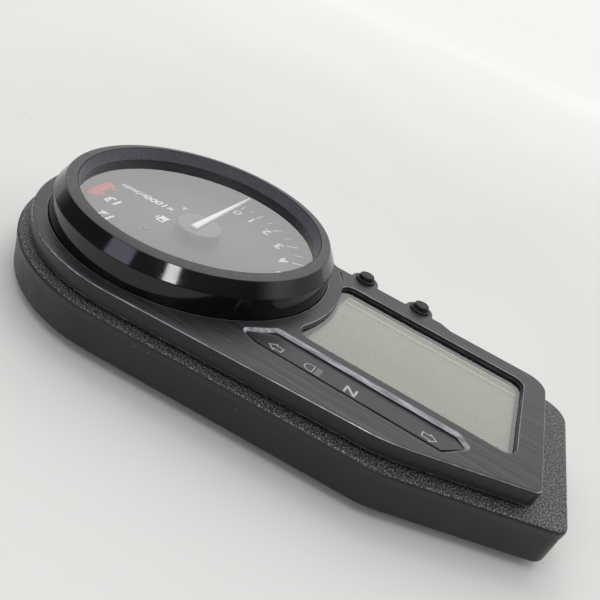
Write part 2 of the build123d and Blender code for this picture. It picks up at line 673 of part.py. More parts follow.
def holder_box():
    """Corners of the LCD holder: low x, high x, low y, high y."""
    left = -WINDOW_TOP_END - HOLDER_LAP
    right = -WINDOW_ARC_R + HOLDER_LAP
    return left, right, -WINDOW_LOW - HOLDER_LAP, WINDOW_TOP + HOLDER_LAP


def lcd_holder():
    """Black holder: a mask in front, and a well behind for the glass and the diffuser."""
    x0, x1, y0, y1 = holder_box()
    body = block(x0, x1, y0, y1, BOARD_TOP, HOLDER_TOP)
    body -= block(x0 + HOLDER_WALL, x1 - HOLDER_WALL, y0 + HOLDER_WALL, y1 - HOLDER_WALL, BOARD_TOP, GLASS_TOP)
    return body - window_slab(-MASK_INSET, GLASS_TOP, HOLDER_TOP)


def well_block(low, high, ledge=0.0):
    """A plate that fills the holder's well, less a strip along its lower side."""
    x0, x1, y0, y1 = holder_box()
    gap = HOLDER_WALL + FIT
    return block(x0 + gap, x1 - gap, y0 + gap + ledge, y1 - gap, low, high)


def lcd_front_glass():
    return well_block(BACK_GLASS_TOP, GLASS_TOP)


def lcd_rear_glass():
    return well_block(DIFFUSER_TOP, BACK_GLASS_TOP, CONTACT_LEDGE)


def lcd_diffuser():
    return well_block(DIFFUSER_TOP - DIFFUSER_THICK, DIFFUSER_TOP, CONTACT_LEDGE)


def lcd_contact_strip():
    """Elastomer strip between the glass contacts and the board."""
    x0, x1, y0, _ = holder_box()
    start = y0 + HOLDER_WALL + (CONTACT_LEDGE - CONTACT_WIDTH) / 2
    inset = HOLDER_WALL + 2.0
    return block(x0 + inset, x1 - inset, start, start + CONTACT_WIDTH, BOARD_TOP, BACK_GLASS_TOP)


def led(x, y):
    long, wide, high = LED_SIZE
    body = block(x - long / 2, x + long / 2, y - wide / 2, y + wide / 2, BOARD_TOP, BOARD_TOP + high)
    return body - rod(x, y, wide * 0.36, BOARD_TOP + high * 0.7, BOARD_TOP + high)


def backlight_leds():
    x0, x1, _, _ = holder_box()
    return [led(x0 + (x1 - x0) * share, y) for share in BACKLIGHT_SHARES for y in BACKLIGHT_Y]


def dial_leds():
    angles = [radians(DIAL_LED_START + 360 * n / DIAL_LEDS) for n in range(DIAL_LEDS)]
    return [led(DIAL_LED_RING * cos(a), DIAL_LED_RING * sin(a)) for a in angles]


# ================================================================ indicator strip
def indicator_lens():
    """Smoked lens: level with the panel along its outer edge, sunk along its inner edge."""
    body = strip_slab(-FIT, DECK_TOP, 0) + strip_slab(STRIP_LAP, PANE_LOW, DECK_TOP)
    reach = 2 * WING_REACH
    run = STRIP_OUT_Y - STRIP_IN_Y
    rise = (STRIP_SINK_IN - STRIP_SINK_OUT) / run
    low_y, high_y = STRIP_IN_Y - run, STRIP_OUT_Y + run
    low_z, high_z = -STRIP_SINK_IN - rise * run, -STRIP_SINK_OUT + rise * run
    side = make_face(Polyline((-reach, low_y, low_z), (-reach, high_y, high_z), (-reach, high_y, high_z + run),
                              (-reach, low_y, high_z + run), close=True))
    return body - (extrude(side, amount=2 * reach, dir=(1, 0, 0)) & strip_slab(0, DECK_TOP, 1.0))


def indicator_light_box():
    """Black honeycomb that gives each symbol a cell of its own."""
    (near, low), (far, high) = LAMP_BOX
    walls = [-near - LAMP_BOX_WALL]
    for a, b in zip(SYMBOL_X, SYMBOL_X[1:]):
        walls.append(-(a + b) / 2 - LAMP_BOX_WALL / 2)
    walls.append(-far)
    body = block(-far, -near, low, high, BOARD_TOP, HOLDER_TOP)
    for right, left in zip(walls, walls[1:]):
        body -= block(left + LAMP_BOX_WALL, right, low + LAMP_BOX_WALL, high - LAMP_BOX_WALL, BOARD_TOP, HOLDER_TOP)
    return body


def indicator_leds():
    middle = (LAMP_BOX[0][1] + LAMP_BOX[1][1]) / 2
    return [led(-x, middle) for x in SYMBOL_X]


# ================================================================ buttons
def button_cap(x):
    body = rod(-x, -BUTTON_Y, CAP_R, CAP_LOW, CAP_TOP)
    body = fillet(edge_at(body, CAP_TOP), 0.5)
    return body + rod(-x, -BUTTON_Y, STEM_R, -PLUNGER_TOP, CAP_LOW)


def button_collar(x):
    """Rubber collar pressed into the panel, which the cap slides in."""
    body = rod(-x, -BUTTON_Y, COLLAR_R, 0, COLLAR_TOP)
    body = fillet(edge_at(body, COLLAR_TOP), 0.35)
    body += rod(-x, -BUTTON_Y, COLLAR_NECK_R, -PANEL_PLATE, 0)
    body -= rod(-x, -BUTTON_Y, CAP_R + SLIDE_FIT, -COLLAR_FLOOR, COLLAR_TOP)
    return body - rod(-x, -BUTTON_Y, STEM_R + SLIDE_FIT, -PANEL_PLATE, -COLLAR_FLOOR)


def switch_body(x):
    half = SWITCH_SIDE / 2
    body = block(-x - half, -x + half, -BUTTON_Y - half, -BUTTON_Y + half, BOARD_TOP, BOARD_TOP + SWITCH_HEIGHT)
    well = -PLUNGER_TOP - PLUNGER_LENGTH - BUTTON_TRAVEL - FIT
    return body - rod(-x, -BUTTON_Y, PLUNGER_R + SLIDE_FIT / 2, well, BOARD_TOP + SWITCH_HEIGHT)


def switch_plunger(x):
    return rod(-x, -BUTTON_Y, PLUNGER_R, -PLUNGER_TOP - PLUNGER_LENGTH, -PLUNGER_TOP)


# ================================================================ board and connector
def main_board():
    body = flange_slab(BOARD_INSET, BOARD_LOW, BOARD_TOP, boss_r=0.0)
    for x in BUTTON_X:
        body += rod(-x, -BUTTON_Y, TAB_R, BOARD_LOW, BOARD_TOP)
        body += block(-x - TAB_R, -x + TAB_R, -BUTTON_Y, -TAB_ROOT, BOARD_LOW, BOARD_TOP)
    for x, y in board_screw_places():
        body -= rod(x, y, BOARD_SCREW_R + FIT, BOARD_LOW, BOARD_TOP)
    for x, y in pin_places():
        body -= blade(x, y, BOARD_LOW, BOARD_TOP)
    return body


def pin_places():
    px, py = PLUG_POS
    half = (PIN_COLUMNS - 1) / 2
    return [(px + (n - half) * PIN_PITCH, py + side * ROW_PITCH / 2) for n in range(PIN_COLUMNS)
            for side in (-1, 1)]


def blade(x, y, low, high):
    return block(x - BLADE / 2, x + BLADE / 2, y - BLADE / 2, y + BLADE / 2, low, high)


def board_screws():
    return [cross_screw(x, y, BOARD_SCREW_R, BOARD_HEAD_R, BOARD_HEAD, BOARD_LOW, -BOARD_SCREW_TIP - FIT)
            for x, y in board_screw_places()]


def board_chips():
    return [block(x - long / 2, x + long / 2, y - wide / 2, y + wide / 2, BOARD_LOW - high, BOARD_LOW)
            for x, y, long, wide, high in CHIPS]


def plug_block(grow, low, high):
    (x, y), (long, wide) = PLUG_POS, PLUG_SIZE
    return block(x - long / 2 - grow, x + long / 2 + grow, y - wide / 2 - grow, y + wide / 2 + grow, low, high)


def connector_housing():
    body = plug_block(0, -PLUG_END, BOARD_LOW)
    body -= plug_block(-PLUG_WALL, -PLUG_END, BOARD_LOW - PLUG_BASE)
    for x, y in pin_places():
        body -= blade(x, y, BOARD_LOW - PLUG_BASE, BOARD_LOW)
    return body


def connector_pins():
    return [blade(x, y, -BLADE_END, BOARD_TOP) for x, y in pin_places()]


def all_pieces():
    pieces = {
        "rear_case": rear_case(), "cover_frame": cover_frame(), "face_panel": face_panel(),
        "case_gasket": case_gasket(), "case_screws": case_screws(), "mount_inserts": mount_inserts(),
        "vent_plug": vent_plug(), "tach_ring": tach_ring(), "tach_lens": tach_lens(),
        "tach_lens_seal": tach_lens_seal(), "dial_hood": dial_hood(), "dial_face": dial_face(),
        "dial_light_guide": dial_light_guide(), "fuel_lamp": fuel_lamp(), "needle_pointer": needle_pointer(),
        "needle_hub": needle_hub(), "needle_shaft": needle_shaft(), "motor_gear": motor_gear(),
        "motor_rotor": motor_rotor(), "rotor_pin": rotor_pin(), "motor_coils": motor_coils(),
        "motor_case": motor_case(), "motor_cover": motor_cover(), "lcd_pane": lcd_pane(),
        "lcd_holder": lcd_holder(), "lcd_front_glass": lcd_front_glass(), "lcd_rear_glass": lcd_rear_glass(),
        "lcd_diffuser": lcd_diffuser(), "lcd_contact_strip": lcd_contact_strip(),
        "backlight_leds": backlight_leds(), "dial_leds": dial_leds(), "indicator_lens": indicator_lens(),
        "indicator_light_box": indicator_light_box(), "indicator_leds": indicator_leds(),
        "main_board": main_board(), "board_chips": board_chips(), "board_screws": board_screws(),
        "connector_housing": connector_housing(), "connector_pins": connector_pins(),
    }
    for name, x in zip(("left", "right"), sorted(BUTTON_X, reverse=True)):
        pieces[f"button_cap_{name}"] = button_cap(x)
        pieces[f"button_collar_{name}"] = button_collar(x)
        pieces[f"switch_body_{name}"] = switch_body(x)
        pieces[f"switch_plunger_{name}"] = switch_plunger(x)
    return {name: piece if isinstance(piece, list) else [piece] for name, piece in pieces.items()}


def main():
    os.makedirs("parts", exist_ok=True)
    pieces = all_pieces()
    boxes = [piece.bounding_box() for group in pieces.values() for piece in group]
    origin = Vector((min(b.min.X for b in boxes) + max(b.max.X for b in boxes)) / 2,
                    (min(b.min.Y for b in boxes) + max(b.max.Y for b in boxes)) / 2,
                    min(b.min.Z for b in boxes))
    print("origin in the modelling frame:", tuple(round(v, 4) for v in origin))
    for name, group in pieces.items():
        moved = [Pos(-origin.X, -origin.Y, -origin.Z) * piece for piece in group]
        export_step(moved[0] if len(moved) == 1 else Compound(children=moved), f"parts/{name}.step")


main()
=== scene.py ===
"""Looks of a motorcycle instrument cluster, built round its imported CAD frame.

Row frame: +X is the tachometer end, +Y the top edge, +Z out of the dial, origin at the bottom centre.
Sizes below are in millimetres and turned into metres where they are used.
"""
import math

import bmesh
import bpy
from mathutils import Matrix, Vector


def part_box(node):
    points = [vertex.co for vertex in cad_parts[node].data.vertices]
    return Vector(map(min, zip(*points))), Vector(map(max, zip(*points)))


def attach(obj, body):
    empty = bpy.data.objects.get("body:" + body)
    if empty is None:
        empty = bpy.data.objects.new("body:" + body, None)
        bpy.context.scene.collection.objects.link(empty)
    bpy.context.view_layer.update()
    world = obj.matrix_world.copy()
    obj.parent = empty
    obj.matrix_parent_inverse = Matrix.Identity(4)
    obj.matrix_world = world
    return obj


MM = 0.001

# ---------------------------------------------------------------- camera and stage
EYE = (-48.6, 201.4, 137.6)
AIM = (-2.2, 11.3, 25.5)
ROLL = 22.7
LENS, SENSOR = 38.2, 36.0
CLIP_START = 5.0
ORIGIN = (0.0, 0.0, 0.0)
SHIFT = (0.0076, 0.0127)
FLOOR_SIZE = 60000.0
FAR_GLOW = (0.40, 0.395, 0.38)
BACKDROP = (0.925, 0.92, 0.90, 1.0)
ROOM = (1.0, 0.995, 0.985, 1.0)
# the room's brightness by direction: from and to a y or z, and from and to a strength
WALL_SIDE = (-0.3, 0.1, 1.0, 0.0)
WALL_RISE = (0.22, 0.48, 0.45, 1.5)
WALL_FALL = (0.52, 0.75, 1.0, 0.25)
CEILING = (0.45, 0.9, 0.10, 0.52)

# ---------------------------------------------------------------- dial printing
PRINT_THICK = 0.03
MAJOR_IN, MAJOR_OUT, MAJOR_WIDE = 38.9, 44.3, 0.62
MINOR_IN, MINOR_OUT, MINOR_WIDE = 40.7, 44.3, 0.42
NUMERAL_R = 34.8
NUMERAL_SHIFT = -0.8
NUMERAL_SIZE = 6.8
NUMERAL_WEIGHT, LEGEND_WEIGHT = 0.16, 0.10
TEXT_TILT, TEXT_SHEAR = 5.0, 0.12
LAST_NUMBER = 13
ZERO_ANGLE = -87.0
STEP_ANGLE = 19.8
FIRST_SQUEEZE, SQUEEZE_RUN = 16.5, 1.6
SPREAD = 0.1
RED_START, RED_END = 12.9, 13.8
RED_IN, RED_OUT = 40.9, 44.8
RED_STEPS = 24
RED_TICKS = (13.1, 13.6)
RED_TICK_IN, RED_TICK_WIDE = 38.8, 1.6
LEGEND_POS, LEGEND_SIZE = (28.6, -6.9), 5.2
FUEL_POS = (14.6, 3.2)
FUEL_SCALE = 1.15
# bars of the fuel pump: low x, high x, low y, high y
FUEL_BARS = ((-1.5, -0.9, -1.9, 1.9), (0.6, 1.2, -1.9, 1.9), (-0.9, 0.6, 1.35, 1.9), (-0.9, 0.6, -1.9, 0.15),
             (-1.9, 1.6, -2.45, -1.9), (1.2, 1.9, -0.5, -0.1), (1.9, 2.25, -1.5, 1.2))
MARK_POS = (15.2, -13.3)
MARK_BARS = ((-1.3, 1.3, -1.2, -0.75), (-0.3, 0.2, -0.75, 1.3))
LAMP_RING_R, LAMP_RING_WIDE = 2.7, 0.35
CIRCLE_STEPS = 48

# ---------------------------------------------------------------- LCD
# the two painted highlights of the LCD's cut edges: where they lie across y, and their widths
LCD_LINES = (-23.3, -18.9)
LCD_LINE_WIDE = (0.5, 0.4)
LCD_FILM_GAP = 0.6
LCD_MARGIN = 0.5

# ---------------------------------------------------------------- ring lip
LIP_RADII = (45.8, 50.1)
LIP_LEVEL = 12.0        # above the dial
RING_WALL_FOOT = 4.0         # above the dial
SKIN_CLEAR = 0.02
RING_WALL_CLEAR = 0.14       # clears the flats of the ring's own round wall
SKIN_STEPS = 192

# ---------------------------------------------------------------- indicator strip
SYMBOLS = (("arrow", -55.6, 1.0), ("beam", -69.2, 1.0), ("neutral", -82.8, 1.0), ("arrow", -109.9, -1.0))
SYMBOL_Y = 38.1
STRIP_FALL = 1.6        # a little more than the lens's slope takes it down
STRIP_MIDDLE = -100.0   # pieces past here are named as the right-hand ones
ARROW = [(2.8, 0.0), (0.1, 2.6), (0.1, 1.5), (-2.5, 1.5), (-2.5, -1.5), (0.1, -1.5), (0.1, -2.6)]
ARROW_LINE = 0.42
LETTER_N = [(-2.1, -2.3), (-1.35, -2.3), (-1.35, 0.9), (1.2, -2.3), (2.1, -2.3), (2.1, 2.3), (1.35, 2.3),
            (1.35, -0.9), (-1.2, 2.3), (-2.1, 2.3)]
LAMP_HALF, LAMP_LINE, LAMP_STEPS = 2.3, 0.34, 16
RAY_Y, RAY_ENDS, RAY_WIDE = (-1.9, -0.65, 0.65, 1.9), (-3.1, -1.1), 0.34
SHARPEST = 0.3          # keeps a mitred corner from running out too far

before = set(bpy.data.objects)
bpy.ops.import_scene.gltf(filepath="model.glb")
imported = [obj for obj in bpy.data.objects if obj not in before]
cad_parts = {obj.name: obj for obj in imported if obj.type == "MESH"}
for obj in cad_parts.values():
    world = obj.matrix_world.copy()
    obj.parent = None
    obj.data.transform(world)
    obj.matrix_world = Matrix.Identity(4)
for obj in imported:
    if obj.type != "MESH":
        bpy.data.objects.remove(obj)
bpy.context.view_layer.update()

ring_low, ring_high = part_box("tach_ring")
AXIS = Vector(((ring_low.x + ring_high.x) / 2, (ring_low.y + ring_high.y) / 2, 0.0))
DIAL_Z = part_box("dial_face")[1].z


def on_dial(x, y):
    """A point given from the tachometer axis in millimetres, in the row frame in metres."""
    return AXIS.x + x * MM, AXIS.y + y * MM


def rectangle(x0, x1, y0, y1):
    """Corners of a rectangle, anticlockwise."""
    return [(x0, y0), (x1, y0), (x1, y1), (x0, y1)]


# ================================================================ node helpers
MIX_INPUTS = (0, 6, 7)      # factor and the two colours of a Mix node
MIX_OUTPUT = 2
BLACK, WHITE = (0.0, 0.0, 0.0), (1.0, 1.0, 1.0)


class Shader:
    """A node tree with one Principled shader and short ways to add patterns to it."""

    def __init__(self, name, **values):
        self.material = bpy.data.materials.new(name)
        self.material.use_nodes = True
        self.nodes = self.material.node_tree.nodes
        self.links = self.material.node_tree.links
        self.surface = self.nodes["Principled BSDF"]
        self.coords = None
        for key, value in values.items():
            self.surface.inputs[key.replace("_", " ")].default_value = value

    def add(self, kind, **values):
        node = self.nodes.new("ShaderNode" + kind)
        for key, value in values.items():
            setattr(node, key, value)
        return node

    def place(self, scale=(1.0, 1.0, 1.0), turn=(0.0, 0.0, 0.0)):
        """Object coordinates in millimetres, stretched and turned."""
        if self.coords is None:
            self.coords = self.add("TexCoord")
        mapping = self.add("Mapping")
        mapping.inputs["Scale"].default_value = [s / MM for s in scale]
        mapping.inputs["Rotation"].default_value = [math.radians(a) for a in turn]
        self.links.new(self.coords.outputs["Object"], mapping.inputs["Vector"])
        return mapping.outputs["Vector"]

    def noise(self, scale, detail=3.0, rough=0.55, stretch=(1.0, 1.0, 1.0), turn=(0.0, 0.0, 0.0)):
        node = self.add("TexNoise")
        node.inputs["Scale"].default_value = scale
        node.inputs["Detail"].default_value = detail
        node.inputs["Roughness"].default_value = rough
        self.links.new(self.place(stretch, turn), node.inputs["Vector"])
        return node.outputs["Fac"]

    def cells(self, scale, feature="F1"):
        node = self.add("TexVoronoi", feature=feature)
        node.inputs["Scale"].default_value = scale
        self.links.new(self.place(), node.inputs["Vector"])
        return node.outputs["Distance"]

    def ramp(self, value, *stops):
        node = self.add("ValToRGB")
        elements = node.color_ramp.elements
        while len(elements) < len(stops):
            elements.new(0.5)
        for element, (where, shade) in zip(elements, stops):
            element.position = where
            element.color = (*shade, 1.0)
        self.links.new(value, node.inputs["Fac"])
        return node.outputs["Color"]

    def span(self, value, low, high, to_low, to_high):
        node = self.add("MapRange")
        for key, number in zip(("From Min", "From Max", "To Min", "To Max"), (low, high, to_low, to_high)):
            node.inputs[key].default_value = number
        self.links.new(value, node.inputs["Value"])
        return node.outputs["Result"]

    def feed(self, value, socket):
        """Link a socket, or set a number or a colour."""
        if isinstance(value, bpy.types.NodeSocket):
            self.links.new(value, socket)
        else:
            socket.default_value = (*value, 1.0) if isinstance(value, tuple) else value

    def mix(self, share, first, second):
        """Two colours, each a tuple or a socket, mixed by a number or a socket."""
        node = self.add("Mix", data_type="RGBA")
        for where, value in zip(MIX_INPUTS, (share, first, second)):
            self.feed(value, node.inputs[where])
        return node.outputs[MIX_OUTPUT]

    def maths(self, operation, first, second):
        node = self.add("Math", operation=operation)
        for where, value in enumerate((first, second)):
            self.feed(value, node.inputs[where])
        return node.outputs["Value"]

    def times(self, *values):
        product = values[0]
        for value in values[1:]:
            product = self.maths("MULTIPLY", product, value)
        return product

    def bump(self, *layers):
        """Bump layers, each (height socket, depth in millimetres, strength)."""
        last = None
        for height, depth, strength in layers:
            node = self.add("Bump")
            node.inputs["Distance"].default_value = depth * MM
            node.inputs["Strength"].default_value = strength
            self.links.new(height, node.inputs["Height"])
            if last is not None:
                self.links.new(last, node.inputs["Normal"])
            last = node.outputs["Normal"]
        self.set("Normal", last)

    def set(self, key, value):
        self.feed(value, self.surface.inputs[key])

    def edges(self, radius, low, high):
        """1 on sharp convex edges and 0 elsewhere, from how far the rounded normal turns."""
        bevel = self.add("Bevel", samples=6)
        bevel.inputs["Radius"].default_value = radius * MM
        geometry = self.add("NewGeometry")
        dot = self.add("VectorMath", operation="DOT_PRODUCT")
        self.links.new(bevel.outputs["Normal"], dot.inputs[0])
        self.links.new(geometry.outputs["Normal"], dot.inputs[1])
        return self.span(dot.outputs["Value"], low, high, 1.0, 0.0)

    def facing(self, low, high):
        """0 where the surface stands upright to 1 where it faces up."""
        split = self.add("SeparateXYZ")
        self.links.new(self.add("NewGeometry").outputs["Normal"], split.inputs[0])
        return self.span(split.outputs["Z"], low, high, 0.0, 1.0)

    def far(self, near, far):
        """0 near the object to 1 far away from it, by distances in millimetres."""
        size = self.add("VectorMath", operation="LENGTH")
        self.links.new(self.place(), size.inputs[0])
        return self.span(size.outputs["Value"], near, far, 0.0, 1.0)


def dust(shader, colour, amount=0.45, scale=0.22):
    """Sparse dust specks over a colour."""
    speck = shader.ramp(shader.cells(scale), (0.0, WHITE), (0.035, WHITE), (0.06, BLACK))
    patch = shader.ramp(shader.noise(0.06, 2.0), (0.5, BLACK), (0.62, WHITE))
    share = shader.times(speck, patch, amount)
    return shader.mix(share, colour, (0.55, 0.54, 0.52))


# ================================================================ materials
def case_plastic():
    """Satin moulded black-brown plastic, with a fine grain and a few rubbed places."""
    s = Shader("case_plastic", Roughness=0.42)
    s.set("Specular IOR Level", 0.42)
    cloud = s.noise(0.05, 4.0, 0.6)
    base = s.ramp(cloud, (0.3, (0.0175, 0.0142, 0.0138)), (0.7, (0.024, 0.0195, 0.019)))
    scuff = s.ramp(s.noise(0.35, 6.0, 0.7, (1.0, 1.0, 0.35)), (0.66, BLACK), (0.74, WHITE))
    base = s.mix(s.times(scuff, 0.12), base, (0.12, 0.115, 0.11))
    s.set("Base Color", dust(s, base))
    s.set("Roughness", s.span(s.noise(0.12, 3.0), 0.3, 0.7, 0.36, 0.50))
    s.bump((s.noise(6.0, 2.0), 0.02, 0.35), (s.noise(0.05, 1.0), 0.5, 0.12))
    return s.material


def flange_plastic():
    """The flange: a fine pebble grain with painted sparkle on its peaks where it faces up, smoother on its
    side.
    """
    s = Shader("flange_plastic", Roughness=0.38)
    pebble = s.noise(2.1, 1.0, 0.4)
    fine = s.noise(3.5, 2.0, 0.6)
    top = s.facing(0.6, 0.9)
    # painted sparkle: the grain's peaks made pale on the faces that look up, in place of their glints
    light = s.ramp(pebble, (0.46, (0.012, 0.012, 0.013)), (0.56, (0.07, 0.07, 0.072)),
                   (0.66, (0.34, 0.34, 0.34)))
    s.set("Base Color", dust(s, s.mix(top, (0.018, 0.0165, 0.0165), light), 0.5, 0.3))
    s.set("Roughness", s.span(fine, 0.3, 0.7, 0.30, 0.50))
    s.bump((s.times(pebble, top), 0.5, 0.8), (fine, 0.03, 0.5))
    return s.material


def brushed_panel():
    """Painted panel brushed along the cluster's length, with scratches and a painted highlight along its
    rounded edges.
    """
    s = Shader("brushed_panel", Roughness=0.34, Metallic=0.3)
    lines = s.noise(1.0, 4.0, 0.7, (0.045, 2.6, 1.0))
    wide = s.noise(1.0, 2.0, 0.5, (0.012, 0.5, 0.5))
    cross = s.noise(1.0, 3.0, 0.6, (4.0, 0.25, 1.0), (0.0, 0.0, 24.0))
    tone = s.ramp(lines, (0.34, (0.014, 0.014, 0.016)), (0.5, (0.036, 0.036, 0.041)),
                  (0.68, (0.10, 0.10, 0.112)))
    tone = s.mix(s.span(wide, 0.35, 0.65, 0.0, 0.5), tone, (0.022, 0.022, 0.025))
    streak = s.noise(1.0, 2.0, 0.5, (0.02, 3.4, 1.0), (0.0, 0.0, 6.0))
    scratch = s.ramp(streak, (0.69, BLACK), (0.74, WHITE))
    gate = s.ramp(s.noise(0.09, 2.0), (0.5, BLACK), (0.6, WHITE))
    tone = s.mix(s.times(scratch, gate, 0.55), tone, (0.36, 0.36, 0.38))
    # painted highlight: a light band along the rounded edges, broken up by noise, in place of the light they
    # catch
    edge = s.edges(0.9, 0.90, 0.992)
    edge_highlight = s.times(edge, s.span(s.noise(0.25, 4.0), 0.35, 0.65, 0.25, 1.0))
    top = s.facing(0.85, 0.97)
    tone = s.mix(top, (0.020, 0.020, 0.022), tone)
    tone = s.mix(s.times(edge_highlight, 0.7), tone, (0.30, 0.30, 0.33))
    bevel = s.times(s.facing(0.55, 0.66), s.maths("SUBTRACT", 1.0, s.facing(0.76, 0.88)))
    glint = s.noise(1.0, 3.0, 0.6, (0.12, 1.0, 1.0))
    silver = s.ramp(glint, (0.35, (0.26, 0.26, 0.29)), (0.65, (0.58, 0.58, 0.63)))
    tone = s.mix(bevel, tone, silver)
    s.set("Base Color", dust(s, tone))
    s.set("Metallic", s.span(bevel, 0.0, 1.0, 0.3, 0.85))
    s.set("Roughness", s.span(lines, 0.3, 0.7, 0.28, 0.42))
    s.bump((s.times(lines, top), 0.05, 0.9), (s.times(cross, top), 0.012, 0.3))
    return s.material


def ring_gloss():
    """Piano-black ring, with faint haze, fine wipe marks and dust."""
    s = Shader("ring_gloss", Roughness=0.05)
    s.set("Specular IOR Level", 0.42)
    haze = s.noise(0.08, 3.0)
    base = s.ramp(haze, (0.3, (0.0045, 0.004, 0.0045)), (0.8, (0.009, 0.0075, 0.0085)))
    s.set("Base Color", dust(s, base, 0.6, 0.28))
    s.set("Roughness", s.span(s.noise(0.5, 5.0, 0.7, (1.0, 1.0, 0.3)), 0.35, 0.75, 0.07, 0.14))
    s.bump((s.noise(0.05, 1.0), 0.15, 0.02))
    return s.material


def ring_lip():
    """Satin dark-grey lip of the ring, a skin over its top."""
    s = Shader("ring_lip", Roughness=0.33)
    base = s.ramp(s.noise(0.9, 4.0), (0.3, (0.030, 0.029, 0.030)), (0.7, (0.042, 0.041, 0.043)))
    s.set("Base Color", dust(s, base, 0.5))
    s.set("Roughness", s.span(s.noise(0.4, 3.0), 0.3, 0.7, 0.32, 0.44))
    s.bump((s.noise(7.0, 1.0), 0.01, 0.4))
    return s.material


def ring_wall():
    """Satin bluish-grey painted reflection laid over the black wall inside the ring."""
    s = Shader("ring_wall", Roughness=0.35)
    # painted reflection: a bluish grey in place of what the black wall mirrors
    s.set("Base Color", s.ramp(s.noise(0.7, 3.0), (0.3, (0.10, 0.106, 0.128)), (0.7, (0.15, 0.158, 0.185))))
    s.set("Roughness", s.span(s.noise(0.5, 3.0), 0.3, 0.7, 0.28, 0.42))
    return s.material


def rubber():
    s = Shader("rubber", Roughness=0.62)
    base = s.ramp(s.noise(0.8, 4.0), (0.3, (0.010, 0.010, 0.0105)), (0.7, (0.021, 0.021, 0.022)))
    s.set("Base Color", dust(s, base, 0.35, 0.5))
    s.set("Roughness", s.span(s.noise(1.5, 3.0), 0.3, 0.7, 0.5, 0.72))
    s.bump((s.noise(9.0, 2.0), 0.02, 0.5))
    return s.material


def black_moulding(name, shade, rough, grain=5.0):
    s = Shader(name, Roughness=rough)
    base = s.ramp(s.noise(0.3, 4.0), (0.3, [shade * 0.8] * 3), (0.7, [shade * 1.25] * 3))
    s.set("Base Color", base)
    s.set("Roughness", s.span(s.noise(0.8, 3.0), 0.3, 0.7, rough * 0.85, min(rough * 1.15, 1.0)))
    s.bump((s.noise(grain, 2.0), 0.02, 0.4))
    return s.material


def smoked_hub():
    """Polished smoked cap of the needle, with a faint haze."""
    s = Shader("smoked_plastic", Roughness=0.12)
    base = s.ramp(s.noise(0.2, 2.0), (0.3, (0.0035, 0.0035, 0.004)), (0.7, (0.0055, 0.0055, 0.006)))
    s.set("Base Color", base)
    s.set("Roughness", s.span(s.noise(0.6, 3.0), 0.3, 0.7, 0.1, 0.16))
    return s.material


def dial_black():
    """Screen-printed matte dial, with a faint vinyl grain."""
    s = Shader("dial_black", Roughness=0.62)
    base = s.ramp(s.noise(0.15, 3.0), (0.3, (0.016, 0.016, 0.018)), (0.7, (0.024, 0.024, 0.026)))
    s.set("Base Color", base)
    s.set("Roughness", s.span(s.noise(2.0, 3.0), 0.3, 0.7, 0.48, 0.62))
    s.bump((s.noise(8.0, 2.0), 0.001, 0.2))
    return s.material


def paint(name, colour, rough=0.5, spread=0.08, grain=3.0):
    """Printing ink or plain plastic with a slight unevenness."""
    s = Shader(name, Roughness=rough)
    dark = [c * (1.0 - spread) for c in colour]
    light = [min(c * (1.0 + spread), 1.0) for c in colour]
    s.set("Base Color", s.ramp(s.noise(grain, 3.0), (0.3, dark), (0.7, light)))
    s.set("Roughness", s.span(s.noise(grain / 2, 2.0), 0.3, 0.7, rough * 0.85, min(rough * 1.15, 1.0)))
    s.bump((s.noise(grain * 3, 1.0), 0.01, 0.3))
    return s.material


def red_ink():
    """Red zone ink, a little uneven."""
    s = Shader("red_ink", Roughness=0.5)
    s.set("Base Color", s.ramp(s.noise(0.5, 3.0), (0.3, (0.62, 0.035, 0.03)), (0.7, (0.78, 0.06, 0.045))))
    s.bump((s.noise(6.0, 1.0), 0.01, 0.3))
    return s.material


def metal(name, colour, rough, stretch=(1.0, 1.0, 1.0)):
    s = Shader(name, Metallic=1.0, Roughness=rough)
    dark = [c * 0.8 for c in colour]
    s.set("Base Color", s.ramp(s.noise(0.8, 4.0, 0.6, stretch), (0.3, dark), (0.7, colour)))
    s.set("Roughness", s.span(s.noise(1.5, 4.0, 0.6, stretch), 0.3, 0.7, rough * 0.7, rough * 1.3))
    s.bump((s.noise(3.0, 3.0, 0.6, stretch), 0.01, 0.5))
    return s.material


def clear_cover(name, tint, shine, rough, smear):
    """A clear cover: what is behind it shows, and its face mirrors the surroundings.

    Only the outer side mirrors, by a factor that stands for both of its faces.
    """
    s = Shader(name)
    fresnel = s.add("Fresnel")
    fresnel.inputs["IOR"].default_value = 1.5
    geometry = s.add("NewGeometry")
    front = s.maths("SUBTRACT", 1.0, geometry.outputs["Backfacing"])
    mirror = s.times(fresnel.outputs["Fac"], shine, front)
    clear = s.add("BsdfTransparent")
    s.feed(tint, clear.inputs["Color"])
    gloss = s.add("BsdfGlossy")
    s.feed(WHITE, gloss.inputs["Color"])
    wipes = s.noise(0.12, 5.0, 0.65, (1.0, 0.35, 1.0), (0.0, 0.0, 30.0))
    s.links.new(s.span(wipes, 0.35, 0.75, rough, rough + smear), gloss.inputs["Roughness"])
    mixer = s.add("MixShader")
    s.links.new(mirror, mixer.inputs[0])
    s.links.new(clear.outputs[0], mixer.inputs[1])
    s.links.new(gloss.outputs[0], mixer.inputs[2])
    s.links.new(mixer.outputs[0], s.nodes["Material Output"].inputs["Surface"])
    s.nodes.remove(s.surface)
    return s.material


def lcd_glass():
    """Grey-green reflective LCD, uneven and a little yellow where the polariser is bare."""
    s = Shader("lcd_glass", Roughness=0.22)
    cloud = s.noise(0.02, 2.0)
    tone = s.ramp(cloud, (0.3, (0.175, 0.172, 0.142)), (0.7, (0.205, 0.200, 0.165)))
    fine = s.cells(2.2)
    tone = s.mix(s.times(fine, 0.05), tone, (0.3, 0.31, 0.27))
    s.set("Base Color", tone)
    s.set("Roughness", s.span(s.noise(0.2, 3.0), 0.3, 0.7, 0.2, 0.3))
    s.bump((s.noise(12.0, 1.0), 0.004, 0.3))
    return s.material


